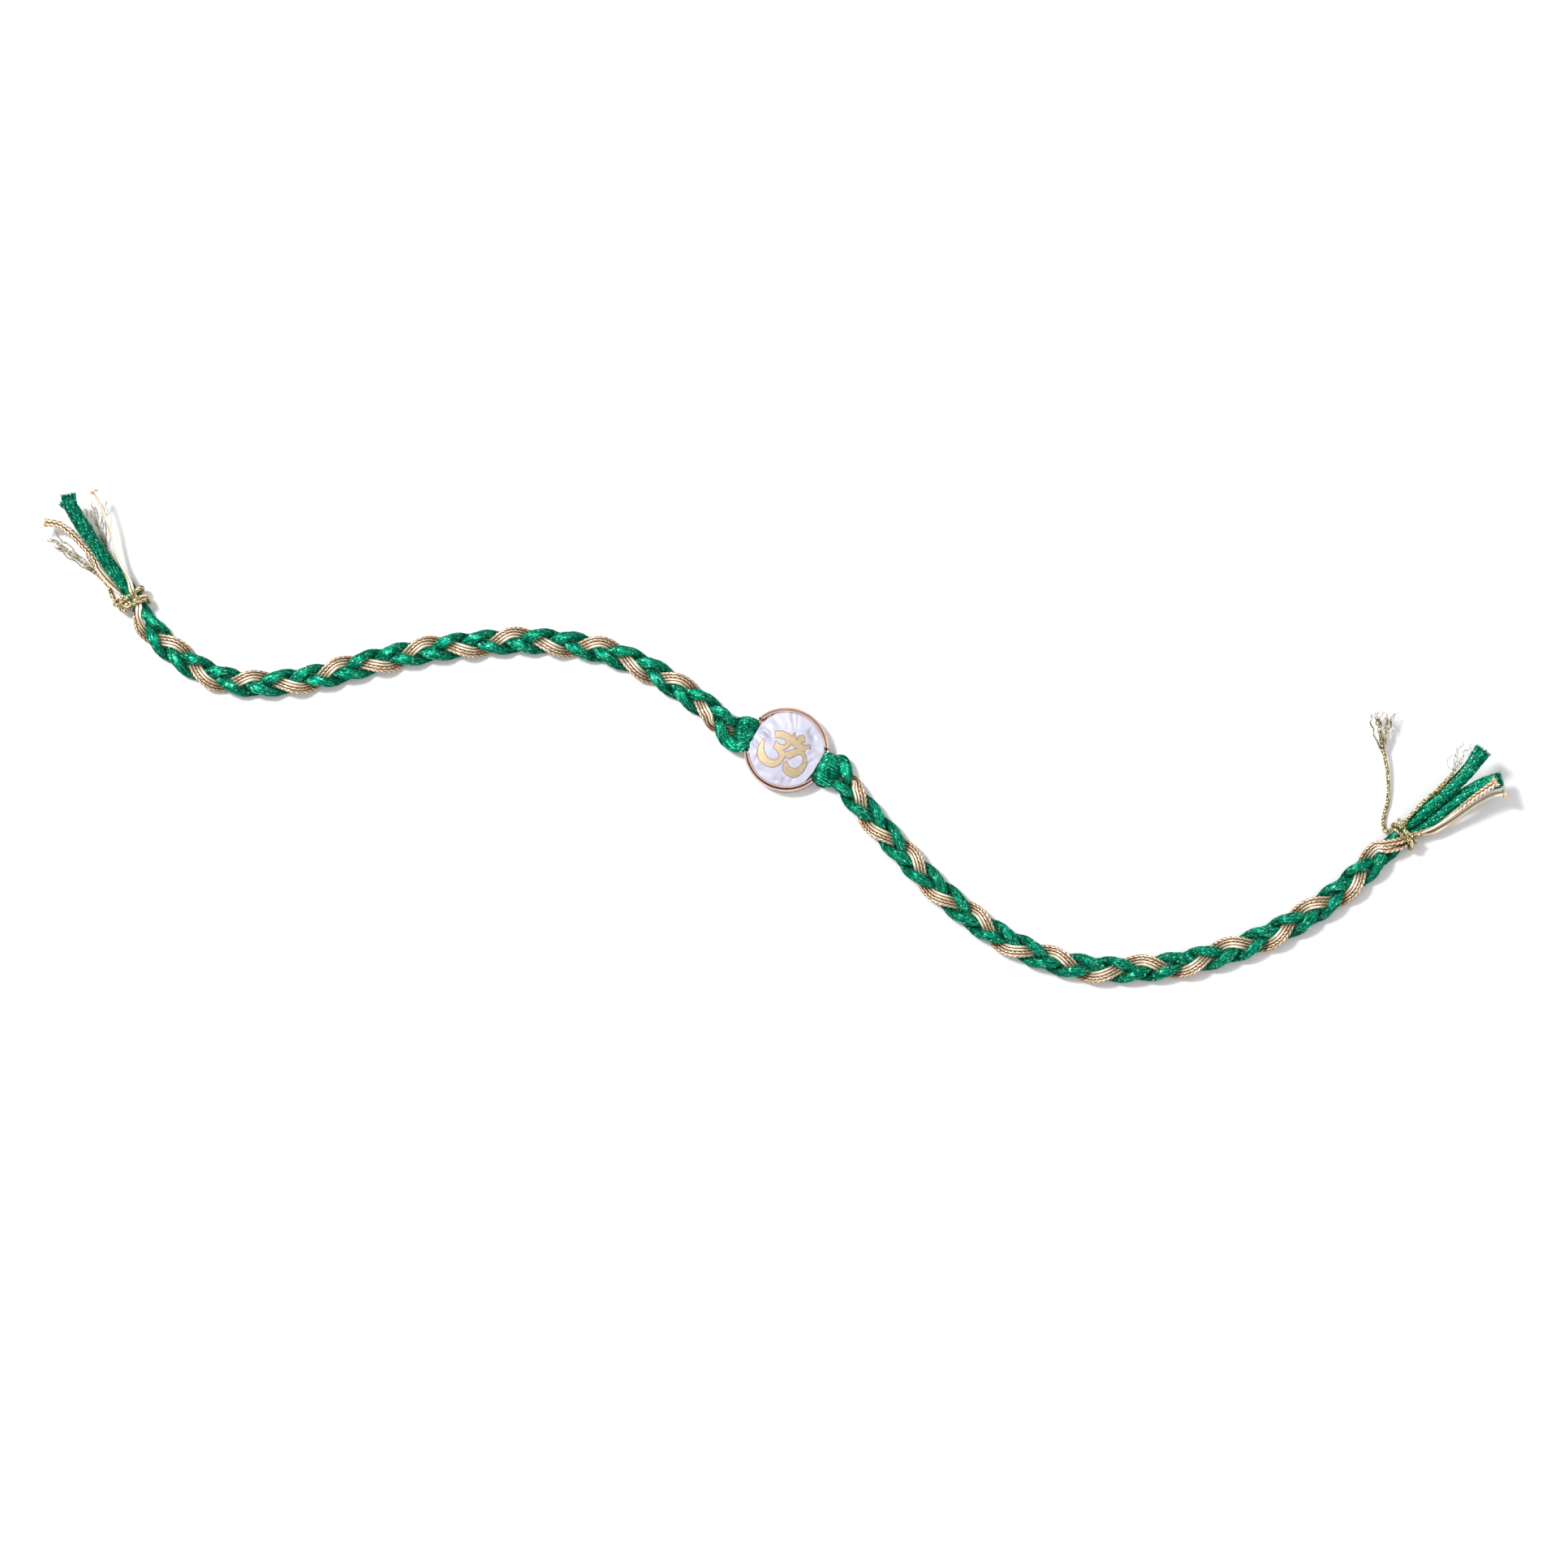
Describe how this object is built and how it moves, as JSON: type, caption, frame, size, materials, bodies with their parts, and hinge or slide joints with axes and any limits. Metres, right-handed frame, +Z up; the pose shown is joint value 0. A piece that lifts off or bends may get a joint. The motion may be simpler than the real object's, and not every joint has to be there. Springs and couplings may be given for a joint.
{
  "type": "rakhi thread bracelet",
  "caption": "Plaited satin and gold thread bracelet, laid open, with a round pearl and inlaid gold figure in a thin metal setting and whipped, cut ends for tying at the wrist.",
  "frame": {"origin": "middle of the setting's flat back, which lies on the table, with +Z up through the pearl", "axes": "+X along the laid-open bracelet from its left tail to its right tail as the picture shows it, +Y away from the viewer, +Z up"},
  "size_m": [0.2567, 0.0865, 0.0078],
  "materials": {
    "rose_gold": "polished rose-gold plating on brass",
    "pearl": "glossy lavender-white nacre with fine wrinkles",
    "inlay_gold": "matt pale gold, lightly brushed",
    "green_satin": "emerald satin cord of fine bright filaments",
    "gold_braid": "narrow beige-gold metallic braid with smooth ribs",
    "whipping_thread": "olive-gold twisted metallic thread"
  },
  "bodies": {
    "root": {"bezel": "rose_gold", "gold_band_left_a": "gold_braid", "gold_band_left_b": "gold_braid", "gold_band_right_a": "gold_braid", "gold_band_right_b": "gold_braid", "green_strand_left_a": "green_satin", "green_strand_left_b": "green_satin", "green_strand_right_a": "green_satin", "green_strand_right_b": "green_satin", "om_inlay": "inlay_gold", "pearl_disc": "pearl", "tie_left": "whipping_thread", "tie_right": "whipping_thread"}
  },
  "joints": []
}
